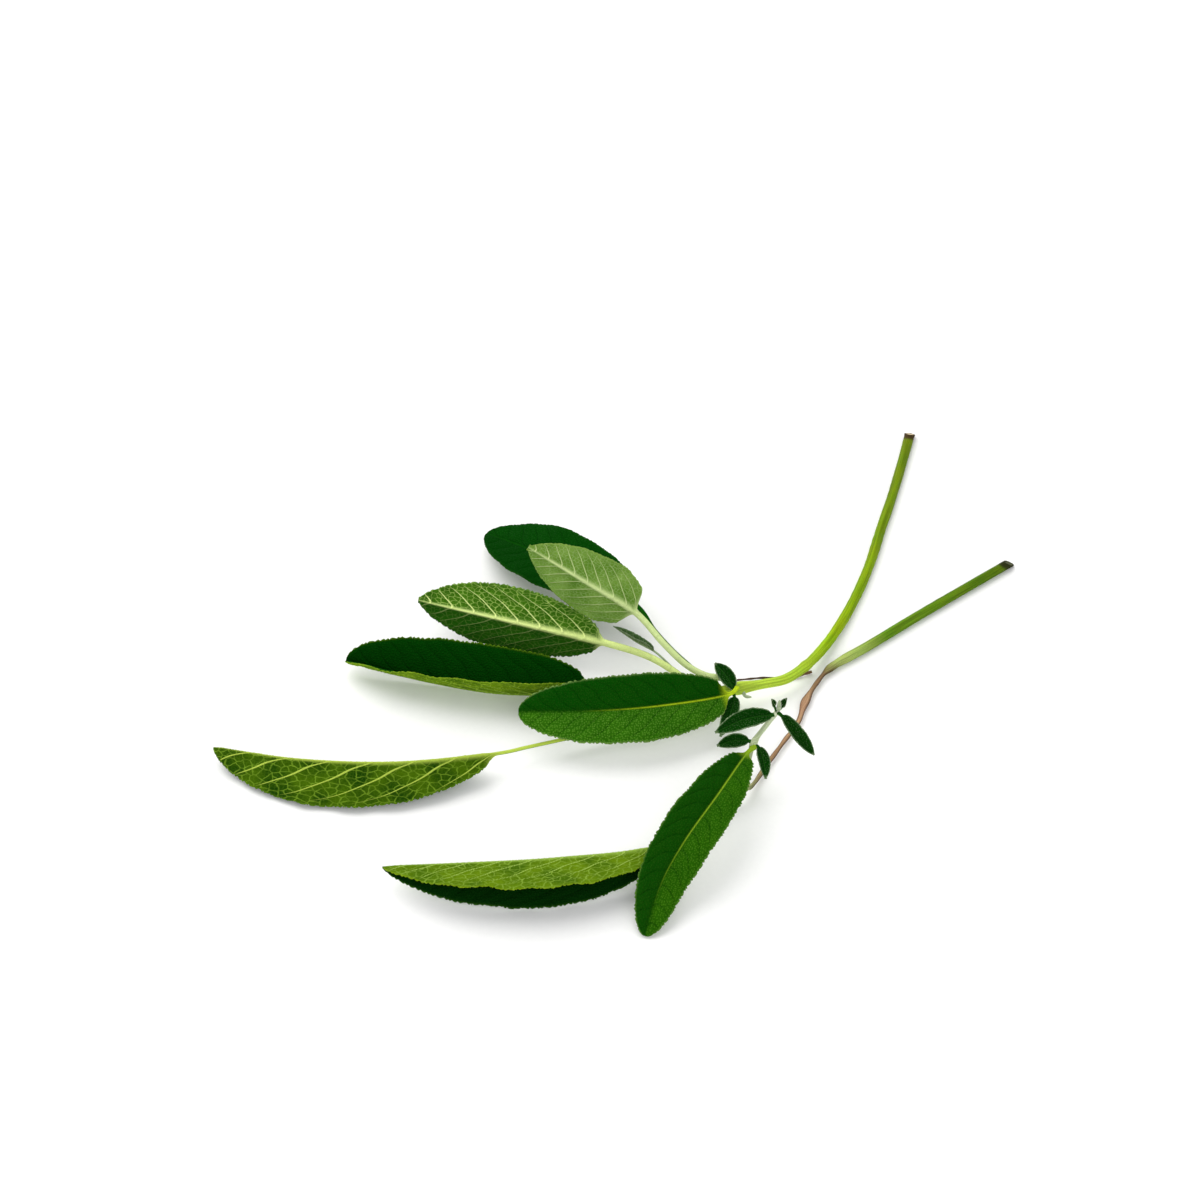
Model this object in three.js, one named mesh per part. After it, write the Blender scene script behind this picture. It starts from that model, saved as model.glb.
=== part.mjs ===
// A cut sprig of garden sage lying on a table, in millimetres, +Z up, -Y towards the viewer.
// It is one forked sprig: a main stem with six big leaves, and a side stem that turns into a
// withered strap and then into a fresh upturned shoot.
import {
  BufferGeometry, CatmullRomCurve3, Float32BufferAttribute, Group, Mesh, MeshStandardMaterial,
  Vector3,
} from 'three';

// Driving dimensions.
const STEM_RADIUS = 1.05;
const SHOOT_RADIUS = 0.55;
const STRAP_HALF_WIDTH = 0.8;
const STALK_RADIUS = 0.3;
const LEAF_THICKNESS = 0.8;
const SMALL_LEAF_THICKNESS = 0.7;
const TAPER_WIDTH = 4; // a half blade narrower than this is thinner in proportion
const BLEND = 0.07; // share of the blade over which the petiole flattens into it
const TIP_CUT = 0.985; // share of the blade at which its tip is closed off
const RIM_THINNING = 0.5; // thickness at the rim, as a share of the blade's
const CROWDING = 0.6; // how strongly stations crowd towards both ends of a blade
const LENGTH_SAMPLES = 400; // steps used to measure a leaf's length along its curve
// The middle of the sprig's footprint, so that the origin lies under the middle of the box.
const MIDDLE = new Vector3(2.155, 3.938, -0.005);

const COLOURS = {
  upperSide: [0x1f4d12, 0.6],
  underside: [0x7f9a4c, 0.75],
  stem: [0x93ad2c, 0.55],
  sideStem: [0x6e8a34, 0.6],
  withered: [0x8a6a4c, 0.8],
  bud: [0xa9b98a, 0.8],
};

const vec = (p) => new Vector3(p[0], p[1], p[2]).sub(MIDDLE);
const mix = (a, b, t) => a + (b - a) * t;
const clamp01 = (t) => Math.min(1, Math.max(0, t));
const smooth = (t) => clamp01(t) ** 2 * (3 - 2 * clamp01(t));
const radians = (degrees) => (degrees * Math.PI) / 180;

// A closed skin over rings of points, each ring counter-clockwise as seen from the far end.
function loft(rings) {
  const sides = rings[0].length;
  const points = rings.flat();
  const index = [];
  for (let i = 0; i + 1 < rings.length; i += 1) {
    for (let j = 0; j < sides; j += 1) {
      const a = i * sides + j;
      const b = i * sides + ((j + 1) % sides);
      index.push(a, b, a + sides, b, b + sides, a + sides);
    }
  }
  const capEnd = (first, outward) => {
    const middle = new Vector3();
    for (let j = 0; j < sides; j += 1) middle.addScaledVector(points[first + j], 1 / sides);
    points.push(middle);
    for (let j = 0; j < sides; j += 1) {
      const edge = [first + j, first + ((j + 1) % sides)];
      index.push(...(outward ? edge : edge.reverse()), points.length - 1);
    }
  };
  capEnd(0, false);
  capEnd((rings.length - 1) * sides, true);
  const geometry = new BufferGeometry();
  const flat = points.flatMap((p) => [p.x, p.y, p.z]);
  geometry.setAttribute('position', new Float32BufferAttribute(flat, 3));
  geometry.setIndex(index);
  geometry.computeVertexNormals();
  return geometry;
}

// A stem: round or oval rings carried along a curve. size(t) gives [half width, half height].
function stemGeometry(line, size, { sides = 8, steps = 24 } = {}) {
  const curve = new CatmullRomCurve3(line.map(vec), false, 'centripetal');
  const rings = [];
  const across = new Vector3(0, 0, 1).cross(curve.getTangentAt(0));
  for (let i = 0; i <= steps; i += 1) {
    const t = i / steps;
    const tangent = curve.getTangentAt(t);
    across.addScaledVector(tangent, -across.dot(tangent)).normalize();
    const up = tangent.clone().cross(across);
    const [halfWidth, halfHeight] = size(t);
    const middle = curve.getPointAt(t);
    rings.push(Array.from({ length: sides }, (_, j) => {
      const angle = (j / sides) * 2 * Math.PI;
      return middle.clone()
        .addScaledVector(across, Math.cos(angle) * halfWidth)
        .addScaledVector(up, Math.sin(angle) * halfHeight);
    }));
  }
  return loft(rings);
}

// Half width of a sage blade along its length (0 at the base, 1 at the tip), as a share of the
// widest half. A low taper rounds that end of the blade, a high one draws it out.
function bladeShape(u, widest, [baseTaper, tipTaper]) {
  if (u < widest) return (1 - ((widest - u) / widest) ** 2) ** baseTaper;
  return (1 - ((u - widest) / (1 - widest)) ** 2.1) ** tipTaper;
}

// One half of a folded, curled blade section: how far out and how far up a point lies at
// distance s from the midrib, and the slope of the blade there.
function foldedPoint(s, halfWidth, [startAngle, endAngle]) {
  const start = radians(startAngle);
  const bend = (radians(endAngle) - start) / halfWidth;
  const slope = start + bend * s;
  if (Math.abs(bend) < 1e-6) return [s * Math.cos(start), s * Math.sin(start), slope];
  return [(Math.sin(slope) - Math.sin(start)) / bend, (Math.cos(start) - Math.cos(slope)) / bend,
    slope];
}

// A leaf with its petiole. line runs from the foot of the petiole to the tip of the blade;
// line[base] is where the blade begins. face gives where the upper side looks, at the base and
// at the tip. left and right are the fold angles of each half, at the midrib and at the rim.
function leafGeometry({
  line, base, face, half, petiole, left = [14, 20], right = left, widest = 0.42,
  taper = [0.5, 0.75], thickness = LEAF_THICKNESS, steps = 12, columns = 3,
}) {
  const curve = new CatmullRomCurve3(line.map(vec), false, 'centripetal');
  const lengths = curve.getLengths(LENGTH_SAMPLES);
  const baseSample = Math.round((LENGTH_SAMPLES * base) / (line.length - 1));
  const bladeStart = lengths[baseSample] / lengths[LENGTH_SAMPLES];
  const faces = face.map((f) => new Vector3(...f).normalize());
  const petioleSteps = base > 0 ? Math.max(2, Math.round(steps / 3)) : 0;
  const stations = [];
  for (let i = 0; i < petioleSteps; i += 1) {
    stations.push({ at: bladeStart * (i / petioleSteps), u: 0, flat: 0 });
  }
  for (let i = 0; i <= steps; i += 1) {
    // Stations crowd towards both ends, where the outline turns fastest.
    const crowded = (1 - Math.cos((Math.PI * i) / steps)) / 2;
    const u = mix(i / steps, crowded, CROWDING) * TIP_CUT;
    stations.push({ at: mix(bladeStart, 1, u), u, flat: smooth(u / BLEND) });
  }
  const rings = stations.map(({ at, u, flat }) => {
    const middle = curve.getPointAt(at);
    const tangent = curve.getTangentAt(at);
    const up = faces[0].clone().lerp(faces[1], u);
    up.addScaledVector(tangent, -up.dot(tangent)).normalize();
    const out = up.clone().cross(tangent);
    const width = Math.max(half * bladeShape(u, widest, taper), petiole);
    const thin = (thickness / 2) * Math.min(1, width / TAPER_WIDTH);
    const count = 2 * columns + 1;
    const ring = [];
    for (const top of [1, -1]) {
      for (let j = 0; j < count; j += 1) {
        const across = top * (1 - j / columns); // 1 at the left rim, -1 at the right rim
        const side = Math.sign(across);
        const fold = side < 0 ? right : left;
        const [outwards, upwards, slope] = foldedPoint(Math.abs(across) * width, width, fold);
        // The two halves meet at the midrib in a mitre, so the skin stands further off there.
        const mitre = side === 0 ? Math.min(2, 1 / Math.cos(slope)) : 1;
        const rim = Math.abs(across) === 1 ? RIM_THINNING : 1;
        const lift = top * thin * mitre * rim;
        const lean = side === 0 ? 0 : slope;
        const blade = middle.clone()
          .addScaledVector(out, side * (outwards - Math.sin(lean) * lift))
          .addScaledVector(up, upwards + Math.cos(lean) * lift);
        const angle = Math.PI * ((j + 0.5) / count + (top < 0 ? 1 : 0));
        const round = middle.clone()
          .addScaledVector(out, Math.cos(angle) * petiole)
          .addScaledVector(up, Math.sin(angle) * petiole);
        ring.push(round.lerp(blade, flat));
      }
    }
    return ring;
  });
  return loft(rings);
}

// Stems. Each line runs from the cut end to the growing tip.
const mainStemLine = [
  [68, 78.5, 1.1], [66, 70.1, 1.1], [62.6, 56.9, 1.1], [59.8, 47.1, 1.1], [56.6, 35.4, 1.1],
  [53.3, 25.9, 1.15], [49.5, 17, 1.4], [45.4, 9, 2.1], [41.2, 2.6, 3], [36.7, -1.9, 3.7],
  [31.9, -3.8, 4.2], [26.7, -5.6, 4.8], [20.9, -7.3, 5], [14.5, -9.4, 4.9], [9.6, -11, 4.6],
];
const sideStemLine = [
  [87.7, 36.3, 1.05], [67.3, 20.4, 1.05], [55.2, 10.6, 1.05], [46.6, 3.8, 1.1], [43.6, -0.6, 1.1],
  [40.9, -6.2, 1], [39.2, -12, 0.9], [36, -17.6, 0.9], [32.2, -24.4, 1], [28.9, -30.6, 1.4],
  [27.5, -32.6, 3.2], [27.7, -30.6, 6.4], [29.1, -26.5, 10], [31.6, -24.9, 13.6], [33.8, -24.2, 17],
];
const witheredStalkLine = [
  [42.7, 3.4, 0.5], [39.2, 1.9, 0.5], [36.3, 1.3, 0.5], [32.8, 1.6, 0.5], [26.5, 0.9, 0.5],
];

// The side stem is green and round up to the fork, a flat strap as far as the turn, then a shoot.
// t is the share of its length: the fork lies at 0.45 of it and the turn at 0.82.
function sideStemSize(t) {
  const shoot = smooth((t - 0.8) / 0.05);
  const strap = smooth((t - 0.42) / 0.06) * (1 - shoot);
  const round = mix(STEM_RADIUS, SHOOT_RADIUS, shoot);
  return [mix(round, STRAP_HALF_WIDTH, strap), mix(round, STRAP_HALF_WIDTH / 2, strap)];
}

const stems = [
  ['main_stem', 'stem', stemGeometry(mainStemLine, () => [STEM_RADIUS, STEM_RADIUS],
    { sides: 10, steps: 34 })],
  ['side_stem', 'sideStem', stemGeometry(sideStemLine, sideStemSize, { sides: 8, steps: 48 })],
  ['withered_stalk', 'withered', stemGeometry(witheredStalkLine,
    (t) => Array(2).fill(STALK_RADIUS * (1 - 0.4 * t)), { sides: 6, steps: 10 })],
];

// The big leaves of the main stem and the shoot, from the back of the fan to the front.
const leaves = {
  back_leaf: {
    line: [[20.4, -5.6, 5.7], [16.7, -1.2, 6.4], [12.8, 2.6, 7.6], [8.8, 7.4, 9], [5, 14, 10],
      [-12, 28.2, 9.4], [-28.3, 43.9, 3]],
    base: 4, face: [[0, -0.4, 0.92], [0, -0.2, 0.97]], half: 7.9, petiole: 0.5, left: [8, 4],
    widest: 0.5, taper: [0.6, 0.62],
  },
  pale_leaf: {
    line: [[24.6, -4.6, 6.3], [19.6, -4.3, 7.3], [15.6, -2.4, 8.4], [10.7, 1.5, 11], [4.7, 6.9, 15],
      [-6.2, 9.5, 22], [-18.3, 11.7, 30]],
    base: 4, face: [[0.2, 0.85, -0.5], [0.1, 0.8, -0.6]], half: 7, petiole: 0.7,
    left: [12, 4], colour: 'underside', widest: 0.3, taper: [0.42, 0.8],
  },
  veined_leaf: {
    line: [[17.4, -6.5, 5.3], [8.8, 0.8, 6.9], [-1.7, 4.7, 8], [-20.2, 9.8, 9], [-42.5, 16.8, 9]],
    base: 2, face: [[0.2, 0.87, -0.5], [0.1, 0.87, -0.5]], half: 7.4, petiole: 0.75,
    left: [14, 8], colour: 'underside', widest: 0.5, taper: [0.62, 0.7],
  },
  cupped_leaf: {
    line: [[8.4, -9.1, 4.4], [2.6, -5.6, 2.8], [-3.9, -3.8, 1.6], [-24.5, -3, 0.8],
      [-39.6, 0.2, 0.8], [-58, 4.7, 2.3]],
    base: 2, face: [[0, 0.24, 0.97], [0, -0.06, 1]], half: 10, petiole: 0.5,
    left: [46, 56], right: [48, 52], widest: 0.46, taper: [0.55, 0.47],
  },
  front_leaf: {
    line: [[26.2, -7.1, 6.6], [24.8, -9.7, 7.4], [9.7, -15.2, 9.4], [-5.1, -17.3, 10],
      [-20.3, -16.6, 9]],
    base: 1, face: [[0, -0.66, 0.75], [0, -0.66, 0.75]], half: 7.4, petiole: 0.45,
    left: [14, 10], widest: 0.48, taper: [0.5, 0.5],
  },
  long_leaf: {
    line: [[8.1, -13.2, 4.2], [-1, -16.4, 3.2], [-10, -18.9, 3.2], [-18, -22.2, 4.2],
      [-23.9, -25, 5.3], [-44.7, -30, 7.6], [-65.7, -28.7, 7.2], [-84.6, -22.1, 4]],
    base: 4, face: [[0, -0.06, -1], [0, -0.06, -1]], half: 9.3, petiole: 0.4,
    left: [44, 54], right: [42, 52], colour: 'underside', widest: 0.55, taper: [0.8, 0.65],
  },
  shoot_leaf: {
    line: [[29.2, -27.9, 10.2], [28, -29.6, 10.8], [20.9, -43.5, 12], [14.2, -53.6, 9.5],
      [9.6, -60.8, 5.2], [6.1, -71.2, 0.5]],
    base: 1, face: [[0, -0.3, 0.95], [0.1, -0.4, 0.9]], half: 6, petiole: 0.45,
    left: [14, 10], widest: 0.5, taper: [0.6, 0.5],
  },
  folded_leaf: {
    line: [[26.6, -34.2, 2.2], [17.8, -41.4, 2.8], [8.5, -50.7, 4.6], [-11.2, -55.4, 6.2],
      [-31.6, -56.5, 5.9], [-47.7, -55.7, 4.2]],
    base: 2, face: [[0, -0.98, -0.19], [0, -0.98, -0.19]], half: 9.6, petiole: 0.4,
    left: [60, 66], right: [60, 70], widest: 0.42, taper: [0.6, 0.75],
  },
};

// The young leaves: between two petioles, in the axil of the front leaf, and up the shoot.
const youngLeaves = {
  narrow_leaf: {
    line: [[19.4, -5.8, 3.9], [13.6, -1.4, 5.4], [8.7, 2.2, 8], [4.4, 3.4, 10.2], [-0.2, 5.2, 12.6]],
    base: 2, face: [[-0.5, 0.3, 0.8], [-0.5, 0.3, 0.8]], half: 1.4, petiole: 0.22, left: [50, 60],
  },
  upper_axil_leaf: {
    line: [[25.4, -7.5, 6.6], [23.8, -5.2, 8.2], [21.5, -2.6, 9.4]],
    base: 0, face: [[0.3, -0.7, 0.7], [0.2, -0.7, 0.7]], half: 1.8, petiole: 0.3,
  },
  lower_axil_leaf: {
    line: [[25.6, -8.6, 5.4], [24.8, -13, 5.2], [22.4, -20, 5]],
    base: 0, face: [[0, -0.5, 0.86], [0, -0.5, 0.86]], half: 1.8, petiole: 0.3,
  },
  lower_pair_left: {
    line: [[28.2, -26.4, 10.5], [25, -26.2, 10.4], [21.4, -27.1, 9.8]],
    base: 0, face: [[0, -0.6, 0.8], [0, -0.6, 0.8]], half: 1.6, petiole: 0.3,
  },
  lower_pair_right: {
    line: [[30, -27.5, 9.9], [31.1, -30.4, 9], [31.5, -33.9, 7]],
    base: 0, face: [[0.2, -0.4, 0.8], [0.2, -0.4, 0.8]], half: 1.4, petiole: 0.3,
  },
  upper_pair_left: {
    line: [[33, -24.6, 16.6], [27.4, -25.6, 16.4], [20.9, -27.8, 14.6]],
    base: 0, face: [[0, -0.6, 0.8], [0, -0.6, 0.8]], half: 2.1, petiole: 0.3,
  },
  upper_pair_right: {
    line: [[34.6, -24.8, 16.8], [37.2, -27.4, 14.2], [41.7, -29.4, 9.4]],
    base: 0, face: [[0.5, -0.4, 0.6], [0.5, -0.4, 0.6]], half: 2.1, petiole: 0.3, left: [30, 34],
  },
  tip_leaf_left: {
    line: [[33.3, -24, 18.4], [32.9, -23.9, 19.4], [32.6, -23.9, 20.6]],
    base: 0, face: [[0.5, -0.5, 0.5], [0.5, -0.5, 0.5]], half: 0.8, petiole: 0.2, left: [30, 30],
  },
  tip_leaf_right: {
    line: [[34.9, -24, 18.4], [35.4, -23.9, 19.6], [35.8, -23.9, 20.9]],
    base: 0, face: [[-0.5, -0.5, 0.5], [-0.5, -0.5, 0.5]], half: 0.9, petiole: 0.2, left: [30, 30],
  },
};

// Buds: a short spindle, widest in the middle.
const buds = {
  axil_bud: { line: [[28, -7.6, 4.4], [29.3, -7.9, 4.4]], radius: 0.45 },
  shoot_tip_bud: { line: [[34.1, -24.2, 17.6], [34.3, -24.3, 20.6]], radius: 0.5 },
  stem_tip_bud: { line: [[8.9, -11.2, 4.6], [6.6, -12, 4.8]], radius: 0.6 },
};

const sprig = new Group();
sprig.name = 'sage_sprig';

function add(name, colour, geometry) {
  const [hex, roughness] = COLOURS[colour];
  const material = new MeshStandardMaterial({ color: hex, roughness, metalness: 0 });
  const mesh = new Mesh(geometry, material);
  mesh.name = name;
  sprig.add(mesh);
}

for (const [name, colour, geometry] of stems) add(name, colour, geometry);
for (const [name, leaf] of Object.entries(leaves)) {
  add(name, leaf.colour ?? 'upperSide', leafGeometry(leaf));
}
for (const [name, leaf] of Object.entries(youngLeaves)) {
  const plain = { taper: [0.55, 0.8], steps: 7, columns: 2, thickness: SMALL_LEAF_THICKNESS };
  add(name, 'upperSide', leafGeometry({ ...plain, ...leaf }));
}
for (const [name, { line, radius }] of Object.entries(buds)) {
  const size = (t) => Array(2).fill(radius * (0.35 + 0.65 * Math.sin(Math.PI * t)));
  add(name, 'bud', stemGeometry(line, size, { sides: 6, steps: 5 }));
}

export default sprig;
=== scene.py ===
import math

import bpy
import numpy as np
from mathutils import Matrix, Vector


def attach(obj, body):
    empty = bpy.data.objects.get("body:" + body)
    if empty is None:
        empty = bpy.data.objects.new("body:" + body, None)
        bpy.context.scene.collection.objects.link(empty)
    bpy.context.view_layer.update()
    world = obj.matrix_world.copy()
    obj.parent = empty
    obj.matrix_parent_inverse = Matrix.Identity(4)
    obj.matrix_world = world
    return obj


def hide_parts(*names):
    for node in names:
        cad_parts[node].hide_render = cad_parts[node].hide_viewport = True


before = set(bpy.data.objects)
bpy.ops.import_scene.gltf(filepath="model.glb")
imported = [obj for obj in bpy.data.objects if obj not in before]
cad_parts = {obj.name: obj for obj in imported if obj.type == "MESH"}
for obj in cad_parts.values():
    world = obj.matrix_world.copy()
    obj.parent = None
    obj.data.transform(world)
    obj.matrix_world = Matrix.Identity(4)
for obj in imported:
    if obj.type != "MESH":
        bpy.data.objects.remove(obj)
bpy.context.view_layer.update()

# A cut sprig of garden sage lying on a table. The CAD frame gives the place and the size of every
# stem and leaf; this script grows the finished ones in their place, with rounded ribbed stems,
# toothed and veined blades, and the materials of both sides of a sage leaf.
MM = 0.001

# ---------------------------------------------------------------------------------------------
# Camera and lights
# ---------------------------------------------------------------------------------------------
LENS = 120.0  # mm, on a 36 mm wide sensor
SENSOR = 36.0
PICTURE_WIDTH = 264.0  # mm across the picture at the point the camera aims at
ELEVATION = 45.0  # degrees above the table
AIM = (-5.155, 21.862, 0.0)  # mm, a little left of and behind the sprig's middle


def add_camera():
    camera = bpy.data.cameras.new("camera")
    camera.lens = LENS
    camera.sensor_width = SENSOR
    camera.clip_start = 0.01
    distance = LENS / SENSOR * PICTURE_WIDTH
    tilt = math.radians(ELEVATION)
    place = Vector(AIM) + distance * Vector((0, -math.cos(tilt), math.sin(tilt)))
    rig = bpy.data.objects.new("camera", camera)
    rig.location = place * MM
    rig.rotation_euler = (math.pi / 2 - tilt, 0, 0)
    bpy.context.scene.collection.objects.link(rig)
    bpy.context.scene.camera = rig


def add_area_light(name, place, aim, size, power, colour):
    light = bpy.data.lights.new(name, "AREA")
    light.shape = "DISK"
    light.size = size
    light.energy = power
    light.color = colour
    lamp = bpy.data.objects.new(name, light)
    lamp.location = place
    lamp.rotation_euler = (Vector(aim) - Vector(place)).to_track_quat("-Z", "Y").to_euler()
    bpy.context.scene.collection.objects.link(lamp)


def add_lights():
    # Places and sizes are in m, powers in W.
    add_area_light("front", (0.15, -0.9, 0.6), (0, 0, 0), 1.0, 4.0, (0.99, 1.0, 1.0))
    add_area_light("key", (-0.45, 0.55, 0.9), (0, 0, 0), 1.4, 11.5, (1.0, 0.99, 0.96))
    world = bpy.data.worlds.new("studio")
    bpy.context.scene.world = world
    world.use_nodes = True
    background = world.node_tree.nodes["Background"]
    background.inputs["Color"].default_value = (1.0, 1.0, 1.0, 1.0)
    background.inputs["Strength"].default_value = 0.7


# ---------------------------------------------------------------------------------------------
# Node-tree helper
# ---------------------------------------------------------------------------------------------
class Tree:
    """Builds a material's nodes with short calls; a socket or a number can be any input."""

    def __init__(self, name):
        self.material = bpy.data.materials.new(name)
        self.material.use_nodes = True
        self.nodes = self.material.node_tree.nodes
        self.links = self.material.node_tree.links
        self.shader = self.nodes["Principled BSDF"]

    def feed(self, socket, value):
        if isinstance(value, bpy.types.NodeSocket):
            self.links.new(value, socket)
        else:
            socket.default_value = value

    def node(self, kind, outlet, settings=None, **inputs):
        made = self.nodes.new(kind)
        for key, value in (settings or {}).items():
            setattr(made, key, value)
        for key, value in inputs.items():
            self.feed(made.inputs[key.replace("_", " ")], value)
        return made.outputs[outlet]

    def math(self, operation, a, b=0.0):
        made = self.nodes.new("ShaderNodeMath")
        made.operation = operation
        self.feed(made.inputs[0], a)
        self.feed(made.inputs[1], b)
        return made.outputs[0]

    def ramp(self, value, low, high, to_low=0.0, to_high=1.0):
        made = self.nodes.new("ShaderNodeMapRange")
        made.interpolation_type = "SMOOTHSTEP"
        for index, number in enumerate((value, low, high, to_low, to_high)):
            self.feed(made.inputs[index], number)
        return made.outputs[0]

    def blend(self, share, a, b):
        made = self.nodes.new("ShaderNodeMix")
        made.data_type = "RGBA"
        self.feed(made.inputs[0], share)
        for socket, colour in ((made.inputs[6], a), (made.inputs[7], b)):
            self.feed(socket, (*colour, 1.0) if isinstance(colour, tuple) else colour)
        return made.outputs[2]

    def mask(self, name="mask"):
        found = self.node("ShaderNodeAttribute", "Color", {"attribute_name": name})
        split = self.nodes.new("ShaderNodeSeparateColor")
        self.links.new(found, split.inputs[0])
        return split.outputs

    def uv(self, stretch=(1.0, 1.0, 1.0)):
        found = self.node("ShaderNodeUVMap", "UV", {"uv_map": "UVMap"})
        return self.node("ShaderNodeMapping", "Vector", Vector=found, Scale=stretch)

    def noise(self, vector, scale, detail=2.0, roughness=0.5):
        return self.node("ShaderNodeTexNoise", "Fac", Vector=vector, Scale=scale, Detail=detail,
                         Roughness=roughness)

    def finish(self, colour, roughness, height, bump, distance=0.0002, sheen=0.0,
               specular=0.5):
        self.feed(self.shader.inputs["Base Color"], colour)
        self.feed(self.shader.inputs["Roughness"], roughness)
        self.shader.inputs["Specular IOR Level"].default_value = specular
        self.shader.inputs["Sheen Weight"].default_value = sheen
        self.shader.inputs["Sheen Roughness"].default_value = 0.4
        normal = self.node("ShaderNodeBump", "Normal", Height=height, Strength=bump,
                           Distance=distance)
        self.links.new(normal, self.shader.inputs["Normal"])
        return self.material


# ---------------------------------------------------------------------------------------------
# Materials. A blade has two UV maps. UVMap is in mm: x along the midrib from the base of the
# blade, y across it. Veins has whole numbers of x on the side veins, and y across it, both in
# units of the space between two side veins. The mask attribute holds: red, midrib and petiole;
# green, nearness to the rim, strongest on its teeth; blue, distance from the midrib as a share
# of the half blade. The tone attribute holds: red, how sunlit that half of the blade is.
# ---------------------------------------------------------------------------------------------
PEBBLE = 2.0  # pebbles per mm of the upper side
EDGES = {"voronoi_dimensions": "2D", "feature": "DISTANCE_TO_EDGE"}
LONG_CELLS = (0.65, 1.0, 1.0)  # the net's cells are longer along the leaf than across it
FINER = 2.4  # the finest veins' cells, for each cell of the web
SHADED_GREEN = (0.003, 0.066, 0.001)  # the half of an underside that faces away from the light


def warped(tree, uv, amount):
    """Blade coordinates bent by noise, so that no cell pattern runs in straight rows."""
    bent = tree.nodes.new("ShaderNodeVectorMath")
    bent.operation = "MULTIPLY_ADD"
    tree.feed(bent.inputs[0], tree.node("ShaderNodeTexNoise", "Color", Vector=uv, Scale=1.3,
                                        Detail=1.0))
    bent.inputs[1].default_value = (amount, amount, 0.0)
    tree.feed(bent.inputs[2], uv)
    return bent.outputs[0]


def side_veins(tree, across):
    """1 on the side veins, which lie on the whole numbers of the Veins map, and 0 off them."""
    veins_uv = tree.node("ShaderNodeUVMap", "UV", {"uv_map": "Veins"})
    split = tree.nodes.new("ShaderNodeSeparateXYZ")
    tree.links.new(veins_uv, split.inputs[0])
    swing = tree.math("SINE", tree.math("MULTIPLY", split.outputs[0], math.pi))
    gap = tree.math("ABSOLUTE", swing)
    reach = tree.ramp(across, 0.0, 1.0, 0.16, 0.06)  # the veins thin out towards the rim
    vein = tree.ramp(tree.math("DIVIDE", gap, reach), 1.3, 0.45)
    return tree.math("MULTIPLY", vein, tree.ramp(across, 0.97, 0.75))


def net_of_veins(tree, place, cells, thickest, thinnest):
    """1 on the edges of a net with so many cells to a mm across the blade, and 0 inside them."""
    edge = tree.node("ShaderNodeTexVoronoi", "Distance", EDGES, Vector=place, Scale=cells,
                     Randomness=0.9)
    return tree.ramp(edge, thickest, thinnest)


def upper_side(name, deep, lit, midrib, rim, bump=0.7):
    """The pebbled upper side of a blade: deep green, with tiny domes that have paler tops."""
    tree = Tree(name)
    red, green, blue = tree.mask()[:3]
    sunlit = tree.mask("tone")[0]
    side_vein = side_veins(tree, blue)
    uv = tree.uv()
    pebble = tree.node("ShaderNodeTexVoronoi", "Distance", {"voronoi_dimensions": "2D"},
                       Vector=warped(tree, uv, 0.4), Scale=PEBBLE, Randomness=0.7)
    dome = tree.ramp(pebble, 0.62, 0.05)
    large = tree.noise(uv, 0.13, 3.0)
    fine = tree.noise(uv, 4.5, 3.0, 0.65)
    # The domes catch the light and the gaps between them stay deep green: painted light on the
    # domes and painted shade in the gaps, as far as that half of the blade is sunlit.
    caught = tree.math("MULTIPLY", tree.ramp(dome, 0.0, 0.8, 0.5, 1.0),
                       tree.ramp(fine, 0.3, 0.6, 0.75, 1.0))
    caught = tree.math("MULTIPLY", caught, tree.ramp(large, 0.3, 0.7, 0.7, 1.0))
    base = tree.blend(tree.math("MULTIPLY", caught, sunlit), deep, lit)
    # The sunk side veins are painted towards the deep green of the shade: painted shade in their
    # grooves.
    base = tree.blend(tree.math("MULTIPLY", side_vein, 0.4), base, deep)
    # Pale hairs on the dome tops show only as far as that half of the blade is sunlit: real hair
    # with a painted highlight.
    hair = tree.math("MULTIPLY", tree.ramp(dome, 0.6, 1.0), tree.ramp(fine, 0.35, 0.6, 0.02, 0.22))
    colour = tree.blend(tree.math("MULTIPLY", hair, sunlit), base, rim)
    colour = tree.blend(tree.math("MULTIPLY", green, tree.ramp(fine, 0.3, 0.6, 0.3, 0.9)),
                        colour, rim)
    colour = tree.blend(red, colour, midrib)
    height = tree.math("SUBTRACT", dome, tree.math("MULTIPLY", side_vein, 0.8))
    height = tree.math("ADD", height, tree.math("MULTIPLY", fine, 0.4))
    roughness = tree.ramp(dome, 0.0, 1.0, 0.85, 0.6)
    return tree.finish(colour, roughness, height, bump, distance=0.00018, specular=0.02)


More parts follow.
